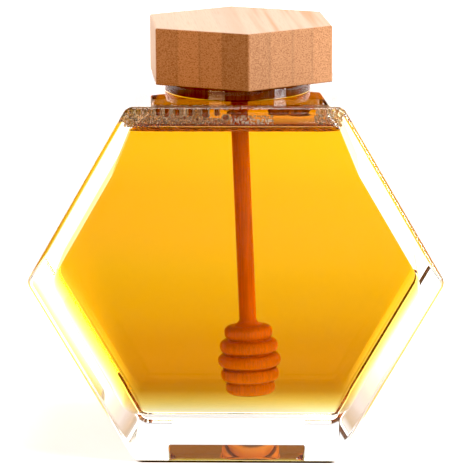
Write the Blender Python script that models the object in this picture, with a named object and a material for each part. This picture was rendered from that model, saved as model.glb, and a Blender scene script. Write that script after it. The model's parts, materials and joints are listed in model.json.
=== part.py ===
"""Hexagonal glass honey jar with a bamboo lid and a wooden honey dipper.

The glass block stands on one side of its hexagon, with a thick base, tapering
walls and a short round neck in its top side. A round plug under the lid shuts
the neck, and the dipper's stick is held in a hole of that plug.

The front faces -Y and +Z is up. The origin is the middle of the base. Sizes
are in millimetres, and new_object() turns them into metres.
"""

import math
import random

import bmesh
import bpy
from mathutils import Matrix, Vector

MM = 0.001
GAP = 0.3                     # between two pieces that touch

# Glass jar, outside
JAR_HALF = 60.0               # half the width from side corner to side corner
JAR_DEPTH = 64.0              # front face to back face
WAIST = 53.4                  # height of the side corners
SHOULDER = 104.3              # height of the flat top
SHOULDER_HALF = 30.6          # half the width of the top
BASE_HALF = 29.5              # half the width of the base
JAR_CORNER = 3.0              # rounding of the six long edges
JAR_RIM = 1.6                 # rounding round the front and back faces

# Glass jar, wall thicknesses
FACE_WALL = 4.5               # front and back
BASE_WALL = 13.2
TOP_WALL = 3.2
LOWER_WALL = 4.7              # two lower sides
UPPER_WALL = 6.2              # two upper sides, below the shoulder
SHOULDER_WALL = 3.4           # upper sides, where they reach the shoulder
SHOULDER_START = 84.0         # height where the upper walls begin to thin
CAVITY_CORNER = 6.0           # rounding of the cavity's long edges
CAVITY_RIM = 4.0              # rounding round the cavity's flat faces

# Neck
NECK_RADIUS = 21.3
NECK_HEIGHT = 3.7             # above the shoulder
NECK_BORE = 17.2
NECK_ROUND = 1.2              # rounded rim, inside and outside
NECK_SINK = 1.0               # how far the neck's solid runs into the shoulder

# Honey
HONEY_LEVEL = 97.4

# Lid: a hexagonal bamboo block and the round plug under it
LID_RADIUS = 29.4
LID_HEIGHT = 16.4
LID_CHAMFER = 0.5
LID_YAW = math.radians(6.4)   # the loose lid is turned a little on the jar
LID_OFFSET = 0.7              # and its block sits a little off centre, along X
LID_UNDERSIDE = SHOULDER + NECK_HEIGHT + GAP
PLUG_RADIUS = NECK_BORE - GAP
PLUG_TAPER = 0.6
PLUG_LENGTH = 7.6
PLUG_ROUND = 1.0
PLUG_TOP = LID_UNDERSIDE - GAP
SOCKET_DEPTH = 5.5            # hole in the plug that holds the stick

# Honey dipper
STICK_RADIUS = 2.5
HEAD_DISCS = (7.1, 8.6, 9.3, 8.6, 7.3)        # disc radii from the top down
HEAD_GROOVES = (6.0, 6.9, 7.1, 6.7)           # between the discs
DISC_PITCH = 4.35
DISC_HEIGHT = 3.8
DIPPER_TILT = math.radians(2.15)              # the head leans towards +X
DIPPER_HANG = Vector((0.6, 0.0, 103.0))       # point of its axis in the plug
DIPPER_FOOT = 14.5            # height of the lowest point of the head's axis

# Foam on the honey: centre X and Y, spread along X and Y, count, bubble radii
FOAM = (
    (-18.0, -21.0, 9.0, 4.5, 24, (0.9, 1.7)),
    (-7.0, -17.0, 8.0, 6.0, 16, (1.1, 2.1)),
    (7.0, -20.0, 7.0, 4.0, 16, (0.8, 1.3)),
    (24.5, -19.0, 1.8, 5.0, 7, (0.8, 1.2)),
)
FOAM_SEED = 7
FOAM_SPACING = 0.82           # of the sum of two radii: bubbles overlap a little
FOAM_SINK = 0.25              # of its radius that each bubble lies below the level

# How finely round shapes are divided
CORNER_STEPS = 5
RIM_STEPS = 4
ROUND_SIDES = 48
DIPPER_SIDES = 20
DISC_STEPS = 5


# ---------------------------------------------------------------- materials

def material(name, colour, roughness, transmission=0.0):
    """A Principled material in one colour."""
    result = bpy.data.materials.new(name)
    result.use_nodes = True
    result.diffuse_color = (*colour, 1.0)
    shader = result.node_tree.nodes["Principled BSDF"]
    shader.inputs["Base Color"].default_value = (*colour, 1.0)
    shader.inputs["Roughness"].default_value = roughness
    shader.inputs["Metallic"].default_value = 0.0
    shader.inputs["Transmission Weight"].default_value = transmission
    return result


# ------------------------------------------------------- outlines and lofts

def wall_line(start, end, thickness):
    """The line through two outline corners, moved inwards by a thickness.

    Returns a point and a direction. Outlines run anticlockwise, so inwards
    is to the left of the direction."""
    direction = (end - start).normalized()
    inwards = Vector((-direction.y, direction.x))
    return start + inwards * thickness, direction


def crossing(line_a, line_b):
    """The point where two lines meet."""
    point_a, direction_a = line_a
    point_b, direction_b = line_b
    between = point_b - point_a
    step = between.cross(direction_b) / direction_a.cross(direction_b)
    return point_a + direction_a * step


def inset(corners, distance):
    """The outline with every side moved inwards by the same distance."""
    lines = [wall_line(corners[i], corners[(i + 1) % len(corners)], distance)
             for i in range(len(corners))]
    return [crossing(lines[i - 1], lines[i]) for i in range(len(lines))]


def rounded(corners, radius):
    """The outline with each corner replaced by an arc of the given radius."""
    points = []
    for i, corner in enumerate(corners):
        back = (corners[i - 1] - corner).normalized()
        ahead = (corners[(i + 1) % len(corners)] - corner).normalized()
        half_angle = back.angle(ahead) / 2
        bisector = (back + ahead).normalized()
        centre = corner + bisector * (radius / math.sin(half_angle))
        sweep = math.copysign(math.pi - 2 * half_angle, ahead.cross(back))
        for step in range(CORNER_STEPS + 1):
            turn = sweep * (step / CORNER_STEPS - 0.5)
            spoke = Matrix.Rotation(turn, 2) @ (-bisector)
            points.append(centre + spoke * radius)
    return points


def mirrored(side):
    """A whole outline from the corners on its +X side, lowest corner first."""
    return side + [Vector((-point.x, point.y)) for point in reversed(side)]


def jar_outline():
    """The jar's outer hexagon in the XZ plane, anticlockwise from the base."""
    return mirrored([Vector((BASE_HALF, 0.0)), Vector((JAR_HALF, WAIST)),
                     Vector((SHOULDER_HALF, SHOULDER))])


def cavity_outline():
    """The cavity in the XZ plane: the hexagon inset by each wall's thickness.

    Each upper side has one more corner, where its wall begins to thin."""
    low_right, right, top_right = jar_outline()[:3]
    upper = wall_line(right, top_right, UPPER_WALL)
    lower = wall_line(low_right, right, LOWER_WALL)
    at_start = (Vector((0.0, SHOULDER_START)), Vector((1.0, 0.0)))
    at_top = (Vector((0.0, SHOULDER - TOP_WALL)), Vector((1.0, 0.0)))
    at_base = (Vector((0.0, BASE_WALL)), Vector((1.0, 0.0)))
    thinned = wall_line(right, top_right, SHOULDER_WALL)
    return mirrored([crossing(lower, at_base), crossing(lower, upper),
                     crossing(upper, at_start), crossing(thinned, at_top)])


def slab_rings(corners, depth, corner_radius, rim_radius):
    """Rings of points that make a slab along Y with rounded faces.

    The slab's outline lies in the XZ plane, and its rings run from -Y to +Y."""
    quarter = [math.pi / 2 * step / RIM_STEPS for step in range(RIM_STEPS + 1)]
    front = [(rim_radius * (1 - math.sin(angle)),
              -depth / 2 + rim_radius * (1 - math.cos(angle)))
             for angle in quarter]
    profile = front + [(shrink, -y) for shrink, y in reversed(front)]
    rings = []
    for shrink, y in profile:
        outline = rounded(inset(corners, shrink), corner_radius - shrink)
        rings.append([Vector((point.x, y, point.y)) for point in outline])
    return rings


def turned_rings(profile, sides):
    """Rings of a shape turned about Z, from a profile of (radius, height)."""
    rings = []
    for radius, height in profile:
        rings.append([Vector((radius * math.cos(2 * math.pi * i / sides),
                              radius * math.sin(2 * math.pi * i / sides),
                              height)) for i in range(sides)])
    return rings


def arc(centre_radius, centre_height, radius, start, end, steps=RIM_STEPS):
    """Points of a profile along an arc. Angles are degrees from +radius."""
    angles = [math.radians(start + (end - start) * step / steps)
              for step in range(steps + 1)]
    return [(centre_radius + radius * math.cos(angle),
             centre_height + radius * math.sin(angle)) for angle in angles]


def loft(rings):
    """A closed mesh through the rings, capped at both ends."""
    mesh = bmesh.new()
    loops = [[mesh.verts.new(point) for point in ring] for ring in rings]
    count = len(loops[0])
    for lower, upper in zip(loops, loops[1:]):
        for i in range(count):
            following = (i + 1) % count
            mesh.faces.new((lower[i], lower[following],
                            upper[following], upper[i]))
    mesh.faces.new(reversed(loops[0]))
    mesh.faces.new(loops[-1])
    bmesh.ops.recalc_face_normals(mesh, faces=mesh.faces)
    return mesh


# ------------------------------------------------------------------ objects

def new_object(name, mesh, finish=None, sharp=30.0):
    """Add a mesh in millimetres to the scene as an object in metres."""
    bmesh.ops.scale(mesh, vec=(MM, MM, MM), verts=mesh.verts)
    data = bpy.data.meshes.new(name)
    mesh.to_mesh(data)
    mesh.free()
    data.shade_smooth()
    data.set_sharp_from_angle(angle=math.radians(sharp))
    if finish is not None:
        data.materials.append(finish)
    result = bpy.data.objects.new(name, data)
    bpy.context.collection.objects.link(result)
    return result


def new_cutter(name, mesh):
    """Add a mesh that only shapes other objects."""
    cutter = new_object(name, mesh)
    cutter.hide_render = True
    cutter.display_type = 'WIRE'
    return cutter


def boolean(target, tool, operation):
    """Shape the target with the tool by a Boolean modifier."""
    modifier = target.modifiers.new(f"{operation.title()} {tool.name}", 'BOOLEAN')
    modifier.operation = operation
    modifier.solver = 'EXACT'
    modifier.object = tool
    return modifier


# ---------------------------------------------------------------------- jar

def cavity_rings(clearance=0.0):
    """The cavity's rings, or those of its filling with a clearance to it."""
    return slab_rings(inset(cavity_outline(), clearance),
                      JAR_DEPTH - 2 * FACE_WALL - 2 * clearance,
                      CAVITY_CORNER - clearance, CAVITY_RIM - clearance)


def make_jar(glass):
    """The glass block with its neck, hollowed by the cavity and the bore."""
    block = slab_rings(jar_outline(), JAR_DEPTH, JAR_CORNER, JAR_RIM)
    jar = new_object("jar", loft(block), glass)

    top = SHOULDER + NECK_HEIGHT
    neck_profile = [(NECK_RADIUS, SHOULDER - NECK_SINK)]
    neck_profile += arc(NECK_RADIUS - NECK_ROUND, top - NECK_ROUND,
                        NECK_ROUND, 0, 90)
    neck = new_cutter("neck_form", loft(turned_rings(neck_profile, ROUND_SIDES)))
    boolean(jar, neck, 'UNION')

    cavity = new_cutter("cavity_form", loft(cavity_rings()))
    boolean(jar, cavity, 'DIFFERENCE')

    bore_profile = [(NECK_BORE, SHOULDER - TOP_WALL - CAVITY_RIM)]
    bore_profile += arc(NECK_BORE + NECK_ROUND, top - NECK_ROUND,
                        NECK_ROUND, 180, 90)
    bore_profile.append((NECK_BORE + NECK_ROUND, top + NECK_ROUND))
    bore = new_cutter("bore_form", loft(turned_rings(bore_profile, ROUND_SIDES)))
    boolean(jar, bore, 'DIFFERENCE')
    return jar


# ------------------------------------------------------------------- dipper

def head_profile(foot, grow=0.0):
    """The ridged head from its foot up, as (radius, height) along its axis.

    Each disc is a rounded rim on a core as thick as its grooves."""
    cores = (HEAD_GROOVES[0],) + HEAD_GROOVES + (HEAD_GROOVES[-1],)
    points = []
    for index in reversed(range(len(HEAD_DISCS))):
        row = len(HEAD_DISCS) - 1 - index
        middle = foot + DISC_HEIGHT / 2 + row * DISC_PITCH
        for step in range(DISC_STEPS + 1):
            turn = math.pi * (step / DISC_STEPS - 0.5)
            core = cores[index + 1] if turn < 0 else cores[index]
            if row == 0 and turn < 0:
                core = 0.45 * HEAD_DISCS[index]
            rim = (HEAD_DISCS[index] - core) * math.cos(turn) ** 0.6
            points.append((core + rim + grow,
                           middle + (DISC_HEIGHT / 2 + grow) * math.sin(turn)))
    return points


def dipper_profile(top, grow=0.0):
    """The whole dipper from its foot up to the top of its stick."""
    foot = DIPPER_FOOT - DIPPER_HANG.z
    head = head_profile(foot, grow)
    neck = head[-1][1]
    stick = STICK_RADIUS + grow
    return head + [(stick + 1.2, neck + 0.3), (stick, neck + 1.3), (stick, top)]


def hung(mesh):
    """Tilt a mesh about the hang point and move it there."""
    tilt = Matrix.Rotation(-DIPPER_TILT, 4, 'Y')
    mesh.transform(Matrix.Translation(DIPPER_HANG) @ tilt)
    return mesh


def make_dipper(wood):
    """One turned piece: a stick with a head of five rounded discs."""
    top = PLUG_TOP - PLUG_LENGTH + SOCKET_DEPTH - GAP - DIPPER_HANG.z
    rings = turned_rings(dipper_profile(top), DIPPER_SIDES)
    return new_object("dipper", hung(loft(rings)), wood)


# -------------------------------------------------------------------- honey

def scatter_foam():
    """Bubble centres and radii, drawn patch by patch without crowding."""
    draw = random.Random(FOAM_SEED)
    inside = JAR_DEPTH / 2 - FACE_WALL - GAP
    half_width = max(p.x for p in cavity_outline() if p.y > SHOULDER_START)
    bubbles = []
    for x, y, spread_x, spread_y, count, (smallest, largest) in FOAM:
        placed = 0
        for _ in range(60 * count):
            if placed == count:
                break
            radius = draw.uniform(smallest, largest)
            centre = Vector((x + draw.uniform(-1, 1) * spread_x,
                             y + draw.uniform(-1, 1) * spread_y))
            if abs(centre.y) > inside - radius - GAP:
                continue
            if abs(centre.x) > half_width - radius - CAVITY_RIM / 2:
                continue
            if centre.length < STICK_RADIUS + GAP + 1.3 * radius + 1.0:
                continue
            if any((centre - other).length < FOAM_SPACING * (radius + size)
                   for other, size in bubbles):
                continue
            bubbles.append((centre, radius))
            placed += 1
    return bubbles


def make_foam():
    """The bubbles as a collection of small spheres sunk into the surface."""
    foam = bpy.data.collections.new("foam_forms")
    bpy.context.scene.collection.children.link(foam)
    for number, (centre, radius) in enumerate(scatter_foam()):
        mesh = bmesh.new()
        bmesh.ops.create_icosphere(mesh, subdivisions=2, radius=radius)
        height = HONEY_LEVEL - FOAM_SINK * radius
        bmesh.ops.translate(mesh, verts=mesh.verts,
                            vec=(centre.x, centre.y, height))
        bubble = new_cutter(f"bubble_{number:02d}", mesh)
        bpy.context.collection.objects.unlink(bubble)
        foam.objects.link(bubble)
    return foam


def fuse_foam(honey, foam):
    """Join the bubbles to the honey, apply that and remove their objects."""
    modifier = honey.modifiers.new("Foam", 'BOOLEAN')
    modifier.operation = 'UNION'
    modifier.solver = 'MANIFOLD'
    modifier.operand_type = 'COLLECTION'
    modifier.collection = foam
    graph = bpy.context.evaluated_depsgraph_get()
    joined = bpy.data.meshes.new_from_object(honey.evaluated_get(graph))
    honey.modifiers.clear()
    honey.data = joined
    for bubble in list(foam.objects):
        bpy.data.objects.remove(bubble)
    bpy.data.collections.remove(foam)


def make_honey(finish):
    """The honey fills the cavity up to its level, open round the dipper."""
    mesh = loft(cavity_rings(GAP))
    bmesh.ops.bisect_plane(
        mesh, geom=mesh.verts[:] + mesh.edges[:] + mesh.faces[:],
        plane_co=(0, 0, HONEY_LEVEL), plane_no=(0, 0, 1), clear_outer=True)
    rim = [edge for edge in mesh.edges if edge.is_boundary]
    bmesh.ops.edgeloop_fill(mesh, edges=rim)
    bmesh.ops.recalc_face_normals(mesh, faces=mesh.faces)
    honey = new_object("honey", mesh, finish)
    fuse_foam(honey, make_foam())

    above = SHOULDER - DIPPER_HANG.z
    rings = turned_rings(dipper_profile(above, GAP), DIPPER_SIDES)
    pocket = new_cutter("dipper_pocket_form", hung(loft(rings)))
    boolean(honey, pocket, 'DIFFERENCE')
    return honey


# ---------------------------------------------------------------------- lid

def make_plug(wood):
    """The round plug in the neck, with a blind hole for the stick."""
    bottom = PLUG_TOP - PLUG_LENGTH
    low_radius = PLUG_RADIUS - PLUG_TAPER
    profile = arc(low_radius - PLUG_ROUND, bottom + PLUG_ROUND,
                  PLUG_ROUND, -90, 0)
    profile.append((PLUG_RADIUS, PLUG_TOP))
    plug = new_object("plug", loft(turned_rings(profile, ROUND_SIDES)), wood)

    reach = bottom + SOCKET_DEPTH - DIPPER_HANG.z
    below = bottom - PLUG_ROUND - DIPPER_HANG.z
    hole = [(STICK_RADIUS + GAP, below), (STICK_RADIUS + GAP, reach)]
    socket = new_cutter("socket_form", hung(loft(turned_rings(hole, DIPPER_SIDES))))
    boolean(plug, socket, 'DIFFERENCE')
    return plug


def make_lid(bamboo):
    """The hexagonal block, with a small chamfer on every edge."""
    profile = [(LID_RADIUS - LID_CHAMFER, LID_UNDERSIDE),
               (LID_RADIUS, LID_UNDERSIDE + LID_CHAMFER),
               (LID_RADIUS, LID_UNDERSIDE + LID_HEIGHT - LID_CHAMFER),
               (LID_RADIUS - LID_CHAMFER, LID_UNDERSIDE + LID_HEIGHT)]
    mesh = loft(turned_rings(profile, 6))
    upright = [edge for edge in mesh.edges
               if abs(edge.verts[0].co.z - edge.verts[1].co.z) > LID_CHAMFER / 2]
    bmesh.ops.bevel(mesh, geom=upright, offset=LID_CHAMFER, segments=1,
                    affect='EDGES', profile=0.5)
    turn_front = LID_YAW + math.radians(30)
    mesh.transform(Matrix.Translation((LID_OFFSET, 0, 0))
                   @ Matrix.Rotation(turn_front, 4, 'Z'))
    return new_object("lid", mesh, bamboo)


def main():
    for old in list(bpy.data.objects):
        bpy.data.objects.remove(old)

    glass = material("Clear glass", (0.96, 0.98, 0.97), 0.02, transmission=1.0)
    gold = material("Honey", (0.85, 0.42, 0.03), 0.05, transmission=0.8)
    bamboo = material("Bamboo", (0.66, 0.40, 0.20), 0.5)
    turned_wood = material("Dipper wood", (0.60, 0.22, 0.03), 0.45)
    dark_wood = material("Plug wood", (0.22, 0.08, 0.03), 0.5)

    make_jar(glass)
    make_honey(gold)
    make_dipper(turned_wood)
    make_plug(dark_wood)
    make_lid(bamboo)


main()
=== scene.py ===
import itertools
import json
import math
import random

import bmesh
import bpy
from bpy.props import FloatProperty, FloatVectorProperty, PointerProperty
from mathutils import Matrix, Vector

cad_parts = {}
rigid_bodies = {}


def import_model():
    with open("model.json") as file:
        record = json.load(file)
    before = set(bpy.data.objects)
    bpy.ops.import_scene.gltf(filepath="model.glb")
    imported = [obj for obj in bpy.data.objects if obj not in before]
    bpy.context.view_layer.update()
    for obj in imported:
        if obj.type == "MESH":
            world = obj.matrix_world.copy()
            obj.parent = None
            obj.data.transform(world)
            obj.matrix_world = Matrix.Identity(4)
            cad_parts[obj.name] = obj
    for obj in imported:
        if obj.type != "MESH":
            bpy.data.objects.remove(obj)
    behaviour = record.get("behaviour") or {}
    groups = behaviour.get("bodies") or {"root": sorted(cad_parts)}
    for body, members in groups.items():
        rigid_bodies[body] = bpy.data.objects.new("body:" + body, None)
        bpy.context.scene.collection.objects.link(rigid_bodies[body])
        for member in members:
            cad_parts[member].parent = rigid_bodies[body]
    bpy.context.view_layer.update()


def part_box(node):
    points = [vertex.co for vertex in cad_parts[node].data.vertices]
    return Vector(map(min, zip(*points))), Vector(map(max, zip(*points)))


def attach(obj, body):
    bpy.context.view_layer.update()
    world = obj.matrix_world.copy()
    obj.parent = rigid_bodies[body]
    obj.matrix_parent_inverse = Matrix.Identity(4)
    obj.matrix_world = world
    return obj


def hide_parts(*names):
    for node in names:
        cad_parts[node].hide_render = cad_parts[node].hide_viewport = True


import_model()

bl_info = {
    "name": "Hexagonal Honey Jar",
    "version": (1, 0, 0),
    "blender": (4, 5, 0),
    "location": "View3D > Sidebar > Honey Jar",
    "description": "A glass jar of honey with a bamboo lid and a wooden dipper",
    "category": "Add Mesh",
}

MM = 0.001
TINY = 0.02 * MM              # two places closer than this are the same
PAST = 2 * MM                 # how far a cutter or a joined part reaches past a face
BODY = "root"                 # no joints, so all pieces ride on one body
ROUND_SIDES = 96              # sides of the neck, the bore, the plug and the floor
CORNER_STEPS = 10             # faces for each radian of a rounded long edge
RIM_STEPS = 8                 # faces over a rounded rim

AIR_IOR = 1.0
GLASS_IOR = 1.5
HONEY_IOR = 1.49
FOAM_IOR = 1.3
WHITE = (1.0, 1.0, 1.0)
BLACK = (0.0, 0.0, 0.0)


# ---------------------------------------- settings

def size(name, millimetres, description):
    """A length setting, given in millimetres."""
    return FloatProperty(name=name, default=millimetres * MM, unit='LENGTH',
                         min=0.0, precision=4, description=description)


def colour(name, rgb, description):
    """A linear colour setting."""
    return FloatVectorProperty(name=name, default=rgb, size=3, min=0.0, max=1.0,
                               subtype='COLOR', description=description)


class JarSettings(bpy.types.PropertyGroup):
    """Sizes of the glass block, its cavity and its neck."""
    half: size("Half width", 60.0, "Middle to a side corner, before rounding")
    waist: size("Waist height", 53.4, "Height of the side corners")
    shoulder: size("Shoulder height", 104.3, "Height of the flat top")
    shoulder_half: size("Shoulder half width", 30.6, "Half the width of the top")
    base_half: size("Base half width", 29.5, "Half the width of the base")
    depth: size("Depth", 64.0, "Front face to back face")
    corner: size("Long edge rounding", 3.0, "Radius of the six long edges")
    rim: size("Rim rounding", 1.6, "Radius round the front and back faces")
    face_wall: size("Face wall", 4.5, "Glass at the front and the back")
    base_wall: size("Base wall", 13.2, "Glass under the honey")
    top_wall: size("Top wall", 1.2, "Glass above the cavity")
    lower_wall: size("Lower wall", 4.7, "Glass at the two lower sides")
    upper_wall: size("Upper wall", 6.2, "Glass at the two upper sides")
    shoulder_wall: size("Shoulder wall", 3.4, "Upper sides at the shoulder")
    thinning: size("Thinning height", 84.0, "Where the upper walls begin to thin")
    inner_corner: size("Cavity edge rounding", 6.0, "Radius of its long edges")
    inner_rim: size("Cavity rim rounding", 1.6, "Radius round its flat faces")
    neck: size("Neck radius", 21.3, "Outer radius of the neck")
    neck_height: size("Neck height", 3.7, "Above the shoulder")
    bore: size("Bore radius", 17.2, "Inner radius of the neck")
    neck_round: size("Neck rounding", 1.2, "Radius of the neck's rim")
    neck_fillet: size("Neck fillet", 0.3, "Radius where the neck meets the top")
    recess: size("Base recess", 2.75, "How far the underside is pushed up")
    recess_half: size("Recess half width", 20.0, "Half the recess's width")
    recess_ring: size("Recess ring", 1.6, "From the front face to the recess")
    recess_slope: size("Recess slope", 11.0, "Depth of the recess's front slope")
    recess_corner: size("Recess corner", 9.0, "Radius of the recess's outline")
    recess_end: size("Recess end rounding", 2.0, "Radius over the recess's ends")
    clear: colour("Glass colour", WHITE, "Tint of the clear glass")


class HoneySettings(bpy.types.PropertyGroup):
    """The filling, its surface and the foam on it."""
    level: size("Level", 97.4, "Height of the honey under the foam, at the front")
    reach: size("Reach", 0.15, "How far the filling reaches into the wall")
    climb: size("Climb", 2.0, "How far the honey climbs the front glass")
    foam_depth: size("Foam depth", 10.5, "How far back the foam goes from the front")
    foam: colour("Foam", (1.0, 0.93, 0.78), "Thin bubble walls")
    foam_deep: colour("Deep foam", (0.95, 0.62, 0.28), "Thick bubble walls")
    hollow: colour("Hollow foam", (0.20, 0.055, 0.015), "Inside the large cells")
    rope: colour("Honey rope", (0.66, 0.17, 0.01), "The thick edge under the foam")
    film: colour("Honey film", (0.42, 0.15, 0.04), "The surface under the foam")
    rim: colour("Honey rim", (0.36, 0.07, 0.01), "Where it climbs up the wall")
    absorbed: colour("Honey colour", (0.945, 0.815, 0.1),
                     "What the honey lets through")
    density: FloatProperty(name="Density", default=100.0, min=0.0,
                           description="How strongly the honey colours light")


class DipperSettings(bpy.types.PropertyGroup):
    """The turned wooden dipper."""
    stick: size("Stick radius", 2.5, "Radius of the stick")
    foot: size("Foot height", 14.5, "Height of the head's lowest point")
    pitch: size("Disc pitch", 4.35, "From one disc to the next")
    disc: size("Disc height", 3.8, "Height of one disc")
    hang: FloatVectorProperty(name="Hang point", default=(0.0006, 0.0, 0.103),
                              size=3, subtype='TRANSLATION',
                              description="Point of its axis in the plug")
    tilt: FloatProperty(name="Tilt", default=math.radians(2.15), subtype='ANGLE',
                        description="How far the head leans towards +X")
    wood: colour("Wood", (0.98, 0.34, 0.03), "Colour of the wet wood")


class LidSettings(bpy.types.PropertyGroup):
    """The bamboo block and the plug under it."""
    radius: size("Block radius", 29.4, "Middle of the block to a corner")
    edge: size("Edge rounding", 0.45, "Softened edges of the block")
    turn: FloatProperty(name="Turn", default=math.radians(6.4), subtype='ANGLE',
                        description="How far the lid is turned on the jar")
    offset: size("Offset", 0.7, "How far off centre the block sits")
    top: colour("Bamboo face", (0.82, 0.61, 0.45), "Ground colour along the fibres")
    streak: colour("Bamboo streaks", (0.74, 0.38, 0.19), "Streaks along the fibres")
    # The pore colour is also the painted shade under the block.
    end: colour("Bamboo ends", (0.53, 0.272, 0.127), "Ground colour of cut fibres")
    pore_and_shade: colour("Bamboo pores", (0.27, 0.105, 0.04), "Dark speckle of cut fibres")
    plug: colour("Plug", (0.28, 0.065, 0.02), "Dark wood of the plug")


class HoneyJarSettings(bpy.types.PropertyGroup):
    """All settings of the honey jar."""
    jar: PointerProperty(type=JarSettings)
    honey: PointerProperty(type=HoneySettings)
    dipper: PointerProperty(type=DipperSettings)
    lid: PointerProperty(type=LidSettings)


# ---------------------------------------- modelling tools

def object_mode():
    """Leave edit mode and deselect everything."""
    if bpy.context.object and bpy.context.object.mode != 'OBJECT':
        bpy.ops.object.mode_set(mode='OBJECT')
    bpy.ops.object.select_all(action='DESELECT')


def take(piece):
    """Go into object mode and select one piece."""
    object_mode()
    piece.select_set(True)
    bpy.context.view_layer.objects.active = piece


def edit_mode(piece):
    """Go into edit mode on one piece, with nothing of it selected."""
    take(piece)
    bpy.ops.object.mode_set(mode='EDIT')
    bpy.ops.mesh.select_all(action='DESELECT')


def select_whole():
    """Select the whole mesh that is being edited."""
    bpy.ops.mesh.select_all(action='SELECT')


def cut(point, way, **settings):
    """In edit mode, cut the whole mesh along a plane."""
    select_whole()
    bpy.ops.mesh.bisect(plane_co=point, plane_no=way, **settings)


def round_edges(offset, segments, **settings):
    """In edit mode, bevel the selected edges."""
    bpy.ops.mesh.bevel(offset=offset, segments=segments, affect='EDGES', **settings)


def pick(piece, kind, test):
    """In edit mode, select only the vertices, edges or faces that pass a test."""
    bpy.ops.mesh.select_mode(type=kind)
    bpy.ops.mesh.select_all(action='DESELECT')
    mesh = bmesh.from_edit_mesh(piece.data)
    parts = {'VERT': mesh.verts, 'EDGE': mesh.edges, 'FACE': mesh.faces}[kind]
    for part in parts:
        if test(part):
            part.select_set(True)
    bmesh.update_edit_mesh(piece.data)


def place(piece):
    """Put a new object's place, turn and scale into its mesh."""
    take(piece)
    bpy.ops.object.transform_apply(location=True, rotation=True, scale=True)
    return piece


def apply_modifier(piece, kind, **values):
    """Add a modifier to a piece and apply it."""
    take(piece)
    modifier = piece.modifiers.new(kind.title(), kind)
    for name, value in values.items():
        setattr(modifier, name, value)
    bpy.ops.object.modifier_apply(modifier=modifier.name)


def combine(piece, tool, operation):
    """Shape a piece by another one, which is then removed."""
    apply_modifier(piece, 'BOOLEAN', operation=operation, solver='EXACT',
                   object=tool, material_mode='TRANSFER')
    bpy.data.objects.remove(tool)


def smooth(piece, degrees=35.0):
    """Shade smooth up to an angle, with large flat faces kept flat."""
    take(piece)
    bpy.ops.object.shade_smooth_by_angle(angle=math.radians(degrees))
    apply_modifier(piece, 'WEIGHTED_NORMAL', mode='FACE_AREA', weight=50,
                   keep_sharp=True)


def turned(name, profile, sides):
    """A closed shape turned about Z, from (radius, height) points, top first."""
    (radius, height), rest = profile[0], profile[1:]
    object_mode()
    bpy.ops.mesh.primitive_circle_add(vertices=sides, radius=radius,
                                      fill_type='NGON', location=(0, 0, height))
    piece = place(bpy.context.object)
    piece.name = name
    edit_mode(piece)
    select_whole()
    for next_radius, next_height in rest:
        bpy.ops.mesh.extrude_region_move(
            TRANSFORM_OT_translate={"value": (0, 0, next_height - height)})
        grow = next_radius / radius
        bpy.ops.transform.resize(value=(grow, grow, 1),
                                 center_override=(0, 0, next_height))
        radius, height = next_radius, next_height
    select_whole()
    bpy.ops.mesh.normals_make_consistent(inside=False)
    object_mode()
    return piece


def dress(piece, slot, *nodes):
    """Put a finished piece on its body and hide the solids it stands for; its slot is
    not used.
    """
    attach(piece, BODY)
    if nodes:
        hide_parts(*nodes)


# ---------------------------------------- the jar's side view

def wall_line(start, end, thickness):
    """The line through two points of an outline, moved inwards.

    Points are (half width, height) on the +X side, from the bottom up."""
    direction = (end - start).normalized()
    return start + Vector((-direction.y, direction.x)) * thickness, direction


def crossing(line_a, line_b):
    """The point where two lines meet."""
    point_a, direction_a = line_a
    point_b, direction_b = line_b
    step = (point_b - point_a).cross(direction_b) / direction_a.cross(direction_b)
    return point_a + direction_a * step


def level_line(height):
    """A level line at a height."""
    return Vector((0.0, height)), Vector((1.0, 0.0))


def inset(side, distance):
    """The +X side of an outline with every wall moved inwards."""
    lines = [level_line(side[0].y + distance)]
    lines += [wall_line(a, b, distance) for a, b in zip(side, side[1:])]
    lines.append(level_line(side[-1].y - distance))
    return [crossing(a, b) for a, b in zip(lines, lines[1:])]


def jar_side(jar):
    """The outer corners on the +X side, from the base up."""
    return [Vector((jar.base_half, 0.0)), Vector((jar.half, jar.waist)),
            Vector((jar.shoulder_half, jar.shoulder))]


def cavity_side(jar):
    """The cavity's corners on the +X side, from its floor up."""
    low, waist, high = jar_side(jar)
    lower = wall_line(low, waist, jar.lower_wall)
    upper = wall_line(waist, high, jar.upper_wall)
    thinned = wall_line(waist, high, jar.shoulder_wall)
    return [crossing(lower, level_line(jar.base_wall)),
            crossing(lower, upper),
            crossing(upper, level_line(jar.thinning)),
            crossing(thinned, level_line(jar.shoulder - jar.top_wall))]


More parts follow.
